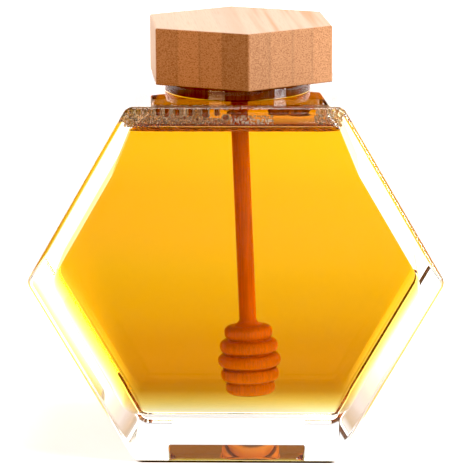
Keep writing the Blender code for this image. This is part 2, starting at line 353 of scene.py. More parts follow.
def add_slab(name, side, depth, corner, rim):
    """A slab whose outline in XZ has the given corners, all edges rounded.

    It starts as a box, is cut level at each inner corner and drawn out there.
    The rims are marked by weight for the modifier that rounds them."""
    low, high = side[0], side[-1]
    object_mode()
    bpy.ops.mesh.primitive_cube_add(size=1, location=(0, 0, (low.y + high.y) / 2),
                                    scale=(2 * low.x, depth, high.y - low.y))
    piece = place(bpy.context.object)
    piece.name = name
    edit_mode(piece)
    for point in side[1:-1]:
        cut((0, 0, point.y), (0, 0, 1))
    for point in side[1:]:
        pick(piece, 'VERT', lambda v: abs(v.co.z - point.y) < TINY)
        bpy.ops.transform.resize(value=(point.x / low.x, 1, 1),
                                 center_override=(0, 0, point.y))
    select_whole()
    bpy.ops.mesh.dissolve_limited(angle_limit=math.radians(0.5))

    ways = [Vector((1, 0))]
    ways += [(b - a).normalized() for a, b in zip(side, side[1:])]
    ways.append(Vector((-1, 0)))
    for point, before, after in zip(side, ways, ways[1:]):
        turn = before.angle(after)
        pick(piece, 'EDGE', lambda e: all(
            abs(abs(v.co.x) - point.x) < TINY and abs(v.co.z - point.y) < TINY
            for v in e.verts) and abs(e.verts[0].co.y - e.verts[1].co.y) > depth / 2)
        round_edges(corner * math.tan(turn / 2), max(2, round(CORNER_STEPS * turn)))
    object_mode()
    weights = piece.data.attributes.new("bevel_weight_edge", 'FLOAT', 'EDGE')
    for edge in piece.data.edges:
        ends = [piece.data.vertices[index].co for index in edge.vertices]
        weights.data[edge.index].value = all(
            abs(end.y - math.copysign(depth / 2, ends[0].y)) < TINY for end in ends)
    apply_modifier(piece, 'BEVEL', width=rim, segments=RIM_STEPS,
                   limit_method='WEIGHT')
    piece.data.attributes.remove(piece.data.attributes["bevel_weight_edge"])
    return piece


# ---------------------------------------- materials

def blank_material(name):
    """A new material with nodes: the material, its tree and its shader."""
    material = bpy.data.materials.new(name)
    material.use_nodes = True
    tree = material.node_tree
    return material, tree, tree.nodes["Principled BSDF"]


def feed(tree, target, inputs):
    """Set inputs of a node, each to a value or to another node's output."""
    for name, value in inputs.items():
        if isinstance(value, bpy.types.NodeSocket):
            tree.links.new(value, target.inputs[name])
        else:
            target.inputs[name].default_value = value


def node(tree, kind, inputs=None, **settings):
    """Add a shader node with its settings and inputs."""
    new = tree.nodes.new("ShaderNode" + kind)
    for name, value in settings.items():
        setattr(new, name, value)
    feed(tree, new, inputs or {})
    return new


def rise(tree, value, start, end, low=0.0, high=1.0):
    """A smooth step of a value, from low at start to high at end."""
    return node(tree, "MapRange", {"Value": value, "From Min": start,
                                   "From Max": end, "To Min": low, "To Max": high},
                interpolation_type='SMOOTHSTEP').outputs["Result"]


def reckon(tree, operation, first, second=0.0, third=0.0):
    """One step of arithmetic."""
    return node(tree, "Math", {0: first, 1: second, 2: third},
                operation=operation).outputs["Value"]


def product(tree, first, *others):
    """Several values multiplied."""
    for other in others:
        first = reckon(tree, 'MULTIPLY', first, other)
    return first


def axes_of(tree, vector):
    """X, Y and Z of a vector, or of one of the Texture Coordinate outputs."""
    if isinstance(vector, str):
        vector = node(tree, "TexCoord").outputs[vector]
    return node(tree, "SeparateXYZ", {"Vector": vector}).outputs


def clear_material(name, tint, ior):
    """Smooth clear glass or liquid surface."""
    material, tree, shader = blank_material(name)
    feed(tree, shader, {"Base Color": (*tint, 1.0), "Roughness": 0.0, "IOR": ior,
                        "Transmission Weight": 1.0})
    return material


def fill_with(material, honey):
    """Give a material's inside the honey's absorption."""
    tree = material.node_tree
    volume = node(tree, "VolumeAbsorption", {"Color": (*honey.absorbed, 1.0),
                                             "Density": honey.density})
    feed(tree, tree.nodes["Material Output"], {"Volume": volume.outputs["Volume"]})
    return material


def mixed(tree, factor, first, second):
    """Blend two colours, each a value or a socket."""
    first = first if isinstance(first, bpy.types.NodeSocket) else (*first, 1.0)
    second = second if isinstance(second, bpy.types.NodeSocket) else (*second, 1.0)
    return node(tree, "Mix", {0: factor, 6: first, 7: second},
                data_type='RGBA').outputs[2]


def fibre_group():
    """Fine fibres along Y of the given vector, with pores among them."""
    group = bpy.data.node_groups.get("Wood fibres")
    if group:
        return group
    group = bpy.data.node_groups.new("Wood fibres", "ShaderNodeTree")
    face = group.interface
    face.new_socket("Vector", in_out='INPUT', socket_type='NodeSocketVector')
    for name, start in (("Width", 0.0004), ("Stretch", 20.0), ("Pore size", 0.2)):
        socket = face.new_socket(name, in_out='INPUT', socket_type='NodeSocketFloat')
        socket.default_value = start
    for name in ("Fibres", "Pores", "Cloud"):
        face.new_socket(name, in_out='OUTPUT', socket_type='NodeSocketFloat')
    given = group.nodes.new("NodeGroupInput").outputs
    result = group.nodes.new("NodeGroupOutput")
    axes = axes_of(group, given["Vector"])
    along = reckon(group, 'DIVIDE', axes["Y"], given["Stretch"])
    spread = node(group, "CombineXYZ", {"X": axes["X"], "Y": along,
                                        "Z": axes["Z"]}).outputs["Vector"]
    count = reckon(group, 'DIVIDE', 1.0, given["Width"])
    fibres = node(group, "TexNoise", {"Vector": spread, "Scale": count,
                                      "Detail": 3.0, "Roughness": 0.6})
    cells = node(group, "TexVoronoi", {"Vector": spread,
                                       "Scale": product(group, count, 0.5)})
    edge = product(group, given["Pore size"], 2.0)
    pores = node(group, "MapRange", {"Value": cells.outputs["Distance"],
                                     "From Min": given["Pore size"],
                                     "From Max": edge, "To Min": 1.0, "To Max": 0.0})
    cloud = node(group, "TexNoise", {"Vector": spread, "Detail": 2.0,
                                     "Scale": product(group, count, 0.06)})
    feed(group, result, {"Fibres": fibres.outputs["Fac"], "Cloud": cloud.outputs["Fac"],
                         "Pores": pores.outputs["Result"]})
    return group


def wood_fibres(tree, turn, width, stretch, pore_size):
    """The fibre group on Object coordinates, turned so that Y runs along the wood."""
    where = node(tree, "TexCoord").outputs["Object"]
    where = node(tree, "Mapping", {"Vector": where, "Rotation": turn}).outputs["Vector"]
    fibres = node(tree, "Group", {"Vector": where, "Width": width, "Stretch": stretch,
                                  "Pore size": pore_size}, node_tree=fibre_group())
    return where, fibres.outputs


def finish_wood(tree, shader, fibres, ground, dull, sharp, bumps, height, gloss):
    """Give wood its colour, and its roughness and bumps by its fibres."""
    bump = node(tree, "Bump", {"Height": fibres["Fibres"], "Strength": bumps,
                               "Distance": height})
    feed(tree, shader, {
        "Base Color": ground, "Normal": bump.outputs["Normal"],
        "Roughness": rise(tree, fibres["Fibres"], 0.3, 0.7, dull, sharp),
        "Specular IOR Level": gloss})


# Seams between the bamboo strips, in mm across the lid, and each strip's tone.
STRIP_SEAMS = (-18.9, -12.65, -6.37, 0.2, 6.9, 13.9, 19.9)
STRIP_TONES = (0.95, 1.08, 1.0, 0.78, 0.95, 1.03, 1.06, 1.16)
SEAM_HALF = 0.5               # half a seam's width in mm
SEAM_TONE = 0.82              # a seam against the strips on both sides of it
STRIP_SPAN = 60.0             # what the ramp of tones covers, in mm
BRIGHTEST = 1.2               # the tone that the ramp's white stands for


def strip_tones(tree, across):
    """One tone for each glued strip, with a darker line at each seam."""
    along = reckon(tree, 'MULTIPLY_ADD', across, 1 / (STRIP_SPAN * MM), 0.5)
    ramp = node(tree, "ValToRGB", {"Fac": along})
    stops = []
    for seam, before, after in zip(STRIP_SEAMS, STRIP_TONES, STRIP_TONES[1:]):
        stops += [(seam - SEAM_HALF, before), (seam, SEAM_TONE * (before + after) / 2),
                  (seam + SEAM_HALF, after)]
    elements = ramp.color_ramp.elements
    elements[0].color = (*[STRIP_TONES[0] / BRIGHTEST] * 3, 1)
    elements[1].color = (*[STRIP_TONES[-1] / BRIGHTEST] * 3, 1)
    for across_mm, tone in stops:
        stop = elements.new(across_mm / STRIP_SPAN + 0.5)
        stop.color = (*[tone / BRIGHTEST] * 3, 1)
    return product(tree, ramp.outputs["Color"], BRIGHTEST)


def bamboo_material(lid):
    """Glued bamboo strips: pale along the fibres, speckled where they are cut, with
    painted shade on the block's underside.
    """
    material, tree, shader = blank_material("Bamboo")
    turn = (0.0, 0.0, -lid.turn)
    where, fibres = wood_fibres(tree, turn, 0.27 * MM, 40.0, 0.2)
    across = axes_of(tree, where)["X"]
    facing = node(tree, "TexCoord").outputs["Normal"]
    facing = node(tree, "Mapping", {"Vector": facing, "Rotation": turn},
                  vector_type='NORMAL').outputs["Vector"]
    end_on = rise(tree, reckon(tree, 'ABSOLUTE', axes_of(tree, facing)["Y"]), 0.25, 0.7)

    speckle = rise(tree, fibres["Fibres"], 0.38, 0.62)
    ends = mixed(tree, speckle, lid.pore_and_shade, lid.end)
    ends = mixed(tree, 0.45, ends, lid.end)
    ends = mixed(tree, product(tree, fibres["Pores"], 0.75), ends, lid.pore_and_shade)
    lines = rise(tree, fibres["Fibres"], 0.45, 0.75, 0.0, 0.55)
    warm = product(tree, rise(tree, fibres["Cloud"], 0.4, 0.6),
                   rise(tree, across, -6 * MM, 10 * MM, 0.1))
    face = mixed(tree, reckon(tree, 'MAXIMUM', lines, warm), lid.top, lid.streak)
    tone = strip_tones(tree, across)
    quiet = reckon(tree, 'MULTIPLY_ADD', tone, 0.25, 0.75)
    ends = node(tree, "VectorMath", {0: ends, "Scale": tone},
                operation='SCALE').outputs["Vector"]
    face = node(tree, "VectorMath", {0: face, "Scale": quiet},
                operation='SCALE').outputs["Vector"]
    wood = mixed(tree, end_on, face, ends)
    # Painted shade: faces that point down take the dark pore colour.
    under = rise(tree, axes_of(tree, "Normal")["Z"], -0.9, -0.5, 1.0, 0.0)
    wood = mixed(tree, under, wood, lid.pore_and_shade)
    finish_wood(tree, shader, fibres, wood, 0.62, 0.5, 0.35, 0.12 * MM, 0.3)
    return material


END_GRAIN_AND_SHADE = 0.22              # how dark wood turns on faces that point down: end grain, and painted shade under the wood


def turned_wood(name, rgb, dark, roughness, gloss):
    """Wood turned on a lathe, its fibres up and down, its faces that point down dark as
    end grain and painted shade.
    """
    material, tree, shader = blank_material(name)
    _, fibres = wood_fibres(tree, (math.radians(-90), 0.0, 0.0), 0.5 * MM, 25.0, 0.18)
    grain = rise(tree, fibres["Fibres"], 0.35, 0.65)
    deep = tuple(part * dark for part in rgb)
    ground = mixed(tree, grain, deep, rgb)
    ground = mixed(tree, product(tree, fibres["Pores"], 0.6), ground, deep)
    # Faces that point down turn dark: end grain, and painted shade under the wood.
    ends = rise(tree, axes_of(tree, "Normal")["Z"], -0.98, -0.85, 1.0, 0.0)
    ground = mixed(tree, ends, ground, tuple(part * END_GRAIN_AND_SHADE for part in rgb))
    finish_wood(tree, shader, fibres, ground, roughness + 0.08, roughness - 0.05,
                0.25, 0.1 * MM, gloss)
    return material


def rim_material(jar, honey):
    """The honey's surface, deeper in colour where it climbs up the front wall."""
    material = clear_material("Honey surface", WHITE, HONEY_IOR)
    tree = material.node_tree
    wall = jar.face_wall - jar.depth / 2
    near = rise(tree, axes_of(tree, "Object")["Y"], wall + 2 * MM, wall + 5 * MM,
                1.0, 0.0)
    feed(tree, tree.nodes["Principled BSDF"],
         {"Base Color": mixed(tree, near, honey.film, honey.rim)})
    return material


def foam_material(name, pale, deep, clearness, roughness=0.1):
    """Whipped honey: wet pale walls, a deeper colour where they are thick."""
    material, tree, shader = blank_material(name)
    where = node(tree, "TexCoord").outputs["Object"]
    patches = node(tree, "TexNoise", {"Vector": where, "Scale": 900.0, "Detail": 2.0})
    patches = patches.outputs["Fac"]
    feed(tree, shader, {
        "Base Color": mixed(tree, rise(tree, patches, 0.42, 0.62), pale, deep),
        "Roughness": rise(tree, patches, 0.3, 0.7, roughness, roughness + 0.2),
        "Transmission Weight": clearness, "IOR": FOAM_IOR})
    return material


# ---------------------------------------- operators

def add_recess(jar):
    """The shallow vault pushed up into the underside, as a cutter."""
    object_mode()
    reach = jar.depth / 2 - jar.recess_ring
    bpy.ops.mesh.primitive_cube_add(
        size=1, location=(0, 0, jar.recess / 2),
        scale=(2 * jar.recess_half, 2 * reach, jar.recess))
    recess = place(bpy.context.object)
    edit_mode(recess)
    pick(recess, 'EDGE', lambda e: abs(e.verts[0].co.z - e.verts[1].co.z) > TINY)
    round_edges(jar.recess_corner, 8)
    slope = Vector((0, jar.recess, jar.recess_slope)).normalized()
    for side in (-1, 1):
        cut((0, side * reach, 0), (0, side * slope.y, slope.z),
            clear_outer=True, use_fill=True)
    pick(recess, 'EDGE', lambda e: all(v.co.z > jar.recess / 3 for v in e.verts)
         and e.calc_face_angle(0) > math.radians(60))
    round_edges(jar.recess_end, 6, clamp_overlap=True)
    select_whole()
    bpy.ops.mesh.remove_doubles(threshold=TINY)
    pick(recess, 'FACE', lambda f: f.normal.z < -0.99)
    bpy.ops.mesh.extrude_region_move(TRANSFORM_OT_translate={"value": (0, 0, -1 * MM)})
    object_mode()
    return recess


FRONT_WETTED = 0.8 * MM       # the front glass is wet this far above the level


class HONEYJAR_OT_glass(bpy.types.Operator):
    """Model the hollow glass block with its neck"""
    bl_idname = "honeyjar.glass"
    bl_label = "Glass Jar"

    def execute(self, context):
        jar = context.scene.honey_jar.jar
        honey = context.scene.honey_jar.honey
        air = clear_material("Clear glass", jar.clear, GLASS_IOR)
        wet = clear_material("Clear glass against honey", jar.clear,
                             GLASS_IOR / HONEY_IOR)

        piece = add_slab("jar_glass", jar_side(jar), jar.depth, jar.corner, jar.rim)
        piece.data.materials.append(air)
        top = jar.shoulder + jar.neck_height
        neck = turned("neck", [(jar.neck, top), (jar.neck, jar.shoulder - PAST)],
                      ROUND_SIDES)
        neck.data.materials.append(air)
        combine(piece, neck, 'UNION')

        cavity = add_slab("cavity", cavity_side(jar), jar.depth - 2 * jar.face_wall,
                          jar.inner_corner, jar.inner_rim)
        cavity.data.materials.append(air)
        cavity.data.materials.append(wet)
        foam_back = honey.foam_depth - jar.depth / 2 + jar.face_wall
        wetted = honey.level + FRONT_WETTED
        edit_mode(cavity)
        cut((0, 0, wetted), (0, 0, 1))
        cut((0, foam_back, 0), (0, 1, 0))
        object_mode()
        for face in cavity.data.polygons:
            dry = face.center.z > wetted and face.center.y < foam_back
            face.material_index = int(not dry)
        combine(piece, cavity, 'DIFFERENCE')

        ceiling = jar.shoulder - jar.top_wall
        bore = turned("bore", [(jar.bore, top + PAST), (jar.bore, ceiling - PAST)],
                      ROUND_SIDES)
        bore.data.materials.append(air)
        combine(piece, bore, 'DIFFERENCE')

        recess = add_recess(jar)
        recess.data.materials.append(air)
        combine(piece, recess, 'DIFFERENCE')

        rings = [(top, jar.neck, jar.neck_round), (top, jar.bore, jar.neck_round),
                 (jar.shoulder, jar.neck, jar.neck_fillet),
                 (ceiling, jar.bore, jar.neck_fillet)]
        edit_mode(piece)
        for height, radius, rounding in rings:
            pick(piece, 'EDGE', lambda e: all(
                abs(v.co.z - height) < TINY
                and abs(v.co.xy.length - radius) < TINY for v in e.verts))
            round_edges(rounding, 8)
        smooth(piece, degrees=12)
        dress(piece, "clear_glass", "jar")
        return {'FINISHED'}


BACK_ROUNDING = 1.8 * MM      # where the gap's floor meets its back
CUT_PAST = 0.05 * MM          # how far the cutter passes the honey's front
BEND = 1.5 * MM               # from one bend of the gap's floor to the next
BENDS = 19                    # bends on each side of the middle
BUMPY_UP_TO = -10 * MM        # the honey's edge is bumpier to the left of this place
LEFT_BUMPS, RIGHT_BUMPS = 0.3 * MM, 0.14 * MM
BUMPY_HEIGHT = 0.5 * MM       # only the floor up to here above the level is bumpy


def add_trough(jar, honey):
    """The gap over the honey's front edge, with an uneven floor, as a cutter."""
    top = jar.shoulder + 5 * MM
    back = jar.face_wall - jar.depth / 2 + honey.foam_depth
    front = jar.face_wall - jar.depth / 2 - honey.reach - CUT_PAST
    object_mode()
    bpy.ops.mesh.primitive_cube_add(
        size=1, location=(0, (front + back) / 2, (honey.level + top) / 2),
        scale=(2 * jar.half, back - front, top - honey.level))
    trough = place(bpy.context.object)
    edit_mode(trough)
    for step in range(-BENDS, BENDS + 1):
        cut((step * BEND, 0, 0), (1, 0, 0))
    for edge, rounding in ((back, BACK_ROUNDING), (front, honey.climb)):
        pick(trough, 'EDGE', lambda e: all(
            abs(v.co.y - edge) < TINY and v.co.z < honey.level + TINY
            for v in e.verts))
        round_edges(rounding, 6)
    for left, bumps in ((True, LEFT_BUMPS), (False, RIGHT_BUMPS)):
        pick(trough, 'VERT', lambda v: v.co.z < honey.level + BUMPY_HEIGHT
             and v.co.y < (front + back) / 2 and abs(v.co.x) < jar.half - TINY
             and (v.co.x < BUMPY_UP_TO) == left)
        bpy.ops.transform.vertex_random(offset=bumps, seed=7)
    object_mode()
    return trough


SKIN = 0.1 * MM               # thickness of the honey's skin


def add_skin(fill, surface, underside):
    """The skin that bends light where honey meets air; the fill only absorbs it.

    It comes from the faces that the cutter has left on the fill."""
    uncovered = {face.index for face in fill.data.polygons if face.material_index}
    edit_mode(fill)
    pick(fill, 'FACE', lambda f: f.index in uncovered)
    bpy.ops.mesh.duplicate()
    bpy.ops.mesh.separate(type='SELECTED')
    object_mode()
    skin = next(piece for piece in bpy.context.scene.objects
                if piece.name.startswith(fill.name) and piece != fill)
    skin.name = "honey_skin"
    for piece in (fill, skin):
        for face in piece.data.polygons:
            face.material_index = 0
    fill.data.materials.pop(index=1)
    skin.data.materials.clear()
    skin.data.materials.append(surface)
    skin.data.materials.append(underside)
    apply_modifier(skin, 'SOLIDIFY', thickness=SKIN, offset=-0.6,
                   material_offset=1, material_offset_rim=1)
    return skin


class HONEYJAR_OT_honey(bpy.types.Operator):
    """Fill the cavity with honey up to its level"""
    bl_idname = "honeyjar.honey"
    bl_label = "Honey"

    def execute(self, context):
        jar = context.scene.honey_jar.jar
        honey = context.scene.honey_jar.honey
        inside = fill_with(clear_material("Honey", WHITE, AIR_IOR), honey)
        underside = clear_material("Honey skin underside", WHITE, AIR_IOR)
        depth = jar.depth - 2 * jar.face_wall + 2 * honey.reach
        piece = add_slab("honey_fill", inset(cavity_side(jar), -honey.reach), depth,
                         jar.inner_corner + honey.reach, jar.inner_rim + honey.reach)
        piece.data.materials.append(inside)
        piece.data.materials.append(underside)
        trough = add_trough(jar, honey)
        trough.data.materials.append(underside)
        combine(piece, trough, 'DIFFERENCE')
        skin = add_skin(piece, rim_material(jar, honey), underside)
        smooth(piece)
        smooth(skin)
        dress(piece, "honey", "honey")
        dress(skin, "honey")
        return {'FINISHED'}


# Foam patches: x, y and z ranges, spacing and range of bubble radii, all in mm.
FOAM_PATCHES = (
    ((-31.0, -9.0), (-26.9, -24.0), (98.6, 102.4), 0.75, (0.26, 0.5)),
    ((-9.0, -2.5), (-26.9, -24.0), (98.6, 100.8), 0.75, (0.24, 0.45)),
    ((-2.0, 10.5), (-26.9, -25.0), (99.0, 101.6), 0.95, (0.2, 0.46)),
    ((23.0, 30.0), (-26.9, -24.5), (98.8, 102.3), 0.85, (0.26, 0.5)),
)
# Open cells on the glass, dark inside: x, z, half width and half height in mm.
FOAM_CELLS = (
    (-21.8, 101.9, 0.75, 0.8), (-19.3, 101.7, 0.95, 0.95), (-16.3, 102.0, 0.85, 0.8),
    (-14.2, 100.9, 0.6, 0.6), (-12.6, 101.9, 0.9, 0.85), (-8.4, 101.7, 1.35, 1.1),
    (-5.1, 102.0, 0.85, 0.8), (-2.6, 100.9, 1.2, 1.0), (-10.6, 100.3, 0.6, 0.55),
)
# Long dark hollows without a ring, given in the same way.
FOAM_HOLLOWS = (
    (12.6, 101.9, 3.4, 0.6), (18.2, 101.7, 3.6, 0.65), (-0.2, 102.2, 2.2, 0.5),
)
# The thick rope of honey along the front glass, just under the foam.
HONEY_ROPE = tuple((7.0 * step, 97.3, 9.0, 0.42) for step in range(-3, 4))
# How far back each kind lies, in mm.
HOLLOW_Y, RING_Y, ROPE_Y = -26.2, -27.2, -27.05
GLINT_FROM, GLINT_TO = -1.5, 10.5   # in mm across: two of three bubbles there are white, painted glints
SHAKE = 0.4                   # how far bubbles leave their lattice, by its spacing
LUMPS = 0.1                   # how far a bubble leaves a round shape, by its radius


def scatter_bubbles():
    """Places and radii, in mm, of the small bubbles, on a shaken lattice."""
    draw = random.Random(7)
    bubbles = []
    for *room, spacing, radii in FOAM_PATCHES:
        counts = [int((high - low) / spacing) + 1 for low, high in room]
        for cell in itertools.product(*map(range, counts)):
            middle = Vector([low + spacing * (step + draw.uniform(-SHAKE, SHAKE))
                             for step, (low, _) in zip(cell, room)])
            radius = draw.uniform(*radii)
            if all(math.hypot((middle.x - x) / wide, (middle.z - z) / tall) > 1
                   for x, z, wide, tall in FOAM_CELLS):
                bubbles.append((middle, radius))
    return bubbles


def copy_at(model, middle, scale, material):
    """A copy with its own mesh, put at a place, scaled and given its material."""
    copy = model.copy()
    copy.data = model.data.copy()
    copy.data.materials.append(material)
    copy.matrix_world = Matrix.Translation(middle) @ Matrix.Scale(scale, 4)
    bpy.context.scene.collection.objects.link(copy)
    return copy


def foam_models():
    """The two shapes that the foam repeats: a lumpy bubble and an upright ring."""
    object_mode()
    bpy.ops.mesh.primitive_uv_sphere_add(segments=8, ring_count=5, radius=1)
    bubble = bpy.context.object
    bpy.ops.object.shade_smooth()
    edit_mode(bubble)
    select_whole()
    bpy.ops.transform.vertex_random(offset=LUMPS, seed=3)
    object_mode()
    bpy.ops.mesh.primitive_torus_add(
        rotation=(math.radians(90), 0, 0), major_segments=9, minor_segments=6,
        major_radius=0.92, minor_radius=0.14)
    ring = place(bpy.context.object)
    bpy.ops.object.shade_smooth()
    return bubble, ring


class HONEYJAR_OT_foam(bpy.types.Operator):
    """Fill the gap over the honey's front edge with bubbles"""
    bl_idname = "honeyjar.foam"
    bl_label = "Foam"

    def execute(self, context):
        bubble, ring = foam_models()
        honey = context.scene.honey_jar.honey
        foam = foam_material("Honey foam", honey.foam, honey.foam_deep, 0.7)
        # White bubbles that stand in for glints: painted highlights.
        white = foam_material("White foam", WHITE, WHITE, 0.4)
        deep = foam_material("Hollow foam", honey.hollow, honey.rim, 0.0, 0.2)
        rope = foam_material("Honey rope", honey.rope, honey.rim, 0.0)

        copies = []
        for count, (middle, radius) in enumerate(scatter_bubbles(), 1):
            # Two of three bubbles in the middle patch are white, as painted glints.
            pale = GLINT_FROM < middle.x < GLINT_TO and count % 3
            copies.append(copy_at(bubble, middle * MM, radius * MM,
                                  white if pale else foam))
        large = [(bubble, HOLLOW_Y, deep, *where) for where in FOAM_CELLS + FOAM_HOLLOWS]
        large += [(ring, RING_Y, foam, *where) for where in FOAM_CELLS]
        large += [(bubble, ROPE_Y, rope, *where) for where in HONEY_ROPE]
        for model, y, material, x, z, wide, tall in large:
            copy = copy_at(model, Vector((x, y, z)) * MM, tall * MM, material)
            copies.append(copy)
            edit_mode(copy)
            select_whole()
            bpy.ops.transform.resize(value=(wide / tall, 1, 1))
            bpy.ops.transform.vertex_random(offset=LUMPS, seed=len(copies))
            object_mode()
        for model in (bubble, ring):
            bpy.data.objects.remove(model)

        object_mode()
        for copy in copies:
            copy.select_set(True)
        context.view_layer.objects.active = copies[0]
        bpy.ops.object.join()
        piece = place(context.view_layer.objects.active)
        piece.name = "foam_bubbles"
        dress(piece, "honey")
        return {'FINISHED'}


# Radii in mm, from the top down: the discs, and the core over, between and under them.
DISCS = (7.1, 8.6, 9.3, 8.6, 7.3)
CORES = (4.0, 6.0, 6.9, 7.1, 6.7, 3.2)
DISC_STEPS = 12               # faces round a disc's edge
DISC_FULLNESS = 0.6           # below 1, a disc's edge is fuller than a half circle
DIPPER_SIDES = 48
# The stick's flare into the head: (beyond the stick, above the head), in mm.
FLARE = ((0.0, 1.6), (0.5, 0.8), (1.2, 0.3))


def head_profile(dipper):
    """The head from its top disc down to its foot, as (radius, height)."""
    points = []
    for index, disc in enumerate(DISCS):
        middle = (dipper.foot + dipper.disc / 2
                  + dipper.pitch * (len(DISCS) - 1 - index))
        for step in range(DISC_STEPS + 1):
            turn = math.pi * (0.5 - step / DISC_STEPS)
            core = CORES[index] if turn > 0 else CORES[index + 1]
            reach = (disc - core) * max(math.cos(turn), 0.0) ** DISC_FULLNESS
            points.append(((core + reach) * MM,
                           middle + dipper.disc / 2 * math.sin(turn)))
    return points


class HONEYJAR_OT_dipper(bpy.types.Operator):
    """Turn the wooden dipper and hang it in the honey"""
    bl_idname = "honeyjar.dipper"
    bl_label = "Honey Dipper"

    def execute(self, context):
        dipper = context.scene.honey_jar.dipper
        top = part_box("dipper")[1].z
        head = head_profile(dipper)
        neck = head[0][1]
        profile = [(dipper.stick, top)]
        profile += [(dipper.stick + out * MM, neck + up * MM) for out, up in FLARE]
        piece = turned("dipper_wood", profile + head, DIPPER_SIDES)
        hang = Vector(dipper.hang)
        lean = Matrix.Rotation(-dipper.tilt, 4, 'Y')
        to_pivot = Matrix.Translation((0, 0, -hang.z))
        piece.matrix_world = Matrix.Translation(hang) @ lean @ to_pivot
        place(piece)
        smooth(piece, degrees=40)
        piece.data.materials.append(
            turned_wood("Dipper wood", dipper.wood, 0.82, 0.4, 0.1))
        dress(piece, "dipper_wood", "dipper")
        return {'FINISHED'}


PLUG_REACH = 0.1 * MM         # the plug reaches this far into the neck's wall
PLUG_EDGE = 0.3 * MM          # its softened lower edge


class HONEYJAR_OT_lid(bpy.types.Operator):
    """Model the bamboo block and the plug under it"""
    bl_idname = "honeyjar.lid"
    bl_label = "Lid and Plug"

    def execute(self, context):
        lid = context.scene.honey_jar.lid
        low, high = (corner.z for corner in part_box("lid"))
        object_mode()
        bpy.ops.mesh.primitive_cylinder_add(
            vertices=6, radius=lid.radius, depth=high - low,
            location=(lid.offset, 0, (low + high) / 2),
            rotation=(0, 0, lid.turn))
        block = place(bpy.context.object)
        block.name = "lid_block"
        edit_mode(block)
        select_whole()
        round_edges(lid.edge, 3)
        smooth(block)
        block.data.materials.append(bamboo_material(lid))
        dress(block, "bamboo", "lid")

        jar = context.scene.honey_jar.jar
        plug_low, plug_high = jar.shoulder - jar.top_wall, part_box("plug")[1].z
        radius = jar.bore + PLUG_REACH
        plug = turned("plug_wood", [(radius, plug_high), (radius, plug_low)],
                      ROUND_SIDES)
        edit_mode(plug)
        pick(plug, 'EDGE', lambda e: all(v.co.z < plug_low + TINY for v in e.verts))
        round_edges(PLUG_EDGE, 3)
        smooth(plug)
        plug.data.materials.append(turned_wood("Plug wood", lid.plug, 0.6, 0.5, 0.25))
        dress(plug, "plug_wood", "plug")
        return {'FINISHED'}


# Area lights: name, place, power in W, size in m, spread in degrees and tint.
LIGHTS = (
    ("key", (0.85, -0.28, 0.36), 3.9, 0.35, 120, WHITE),
    ("fill", (-0.45, -0.75, 0.3), 1.8, 0.4, 120, (1.0, 0.6, 0.32)),
    ("top", (0.05, 0.0, 0.7), 0.27, 0.3, 60, WHITE),
)
LIT_POINT = Vector((0, 0.03, 0.1))
FLOOR_RADIUS = 3.0
FLOOR_Z = -0.2 * MM
BLACK_LEVEL = 0.02


class HONEYJAR_OT_stage(bpy.types.Operator):
    """Set the pale floor, the soft lights and the camera"""
    bl_idname = "honeyjar.stage"
    bl_label = "Stage"

    def execute(self, context):
        scene = context.scene
        object_mode()
        bpy.ops.mesh.primitive_circle_add(vertices=ROUND_SIDES, radius=FLOOR_RADIUS,
                                          fill_type='NGON', location=(0, 0, FLOOR_Z))
        floor = place(bpy.context.object)
        floor.name = "floor"
        floor.data.materials.append(floor_material())
        scene.world = studio_world()

        for name, where, power, width, spread, tint in LIGHTS:
            data = bpy.data.lights.new(name, 'AREA')
            data.energy = power
            data.color = tint
            data.size = width
            data.spread = math.radians(spread)
            lamp = bpy.data.objects.new(name, data)
            lamp.location = where
            aim = LIT_POINT - Vector(where)
            lamp.rotation_euler = aim.to_track_quat('-Z', 'Y').to_euler()
            scene.collection.objects.link(lamp)

        add_camera(scene)
        scene.view_settings.view_transform = 'Standard'
        scene.view_settings.use_curve_mapping = True
        scene.view_settings.curve_mapping.black_level = [BLACK_LEVEL] * 3
        scene.cycles.max_bounces = 32
        scene.cycles.transmission_bounces = 32
        scene.cycles.glossy_bounces = 16
        scene.cycles.transparent_max_bounces = 32
        return {'FINISHED'}


# Tint of the light through the honey, by metres behind the jar's middle.
AMBER_LIGHT = (
    (0.037, (0.76, 0.80, 0.82)), (0.0575, (0.42, 0.30, 0.18)),
    (0.10, (0.55, 0.46, 0.40)), (0.125, (0.58, 0.51, 0.40)),
    (0.16, (0.66, 0.65, 0.48)), (0.23, (0.74, 0.80, 0.76)),
    (0.38, (0.90, 0.85, 0.92)), (0.475, WHITE),
)
AMBER_SPAN = 0.5              # what the ramp of tints covers, in metres
AMBER_HALF, AMBER_SPREAD = 0.034, 0.19   # half its width at the jar, and its growth
PAPER = (0.85, 0.85, 0.85)
CONTACT_SHADOW = (0.05, 0.03, 0.02)  # painted contact shadow: a thin dark line on the floor along the jar's lower edges


def band(tree, value, start, full, end, gone, most=1.0):
    """Most between full and end, and nothing before start and after gone."""
    return product(tree, rise(tree, value, start, full),
                   rise(tree, value, end, gone, most, 0.0))


def floor_glow(tree, axes, off_x, contact_shadow):
    """How strongly the paper is lit from below; places are in metres."""
    front = rise(tree, axes["Y"], -0.12, -0.035, 0.0, 0.72)
    back = rise(tree, axes["Y"], 0.05, 0.45, 0.0, 0.58)
    side = rise(tree, axes["X"], -0.14, 0.14, 0.78, 1.2)
    glow = product(tree, reckon(tree, 'ADD', front, back), side)
    from_patch = reckon(tree, 'ABSOLUTE', reckon(tree, 'ADD', axes["Y"], 0.017))
    under_jar = product(tree, rise(tree, off_x, 0.026, 0.03, 1.0, 0.0),
                        rise(tree, from_patch, 0.0105, 0.0125, 1.0, 0.0))
    glow = reckon(tree, 'ADD', glow, under_jar)
    # No glow under the painted contact shadow.
    return product(tree, glow, reckon(tree, 'SUBTRACT', 1.0, contact_shadow))


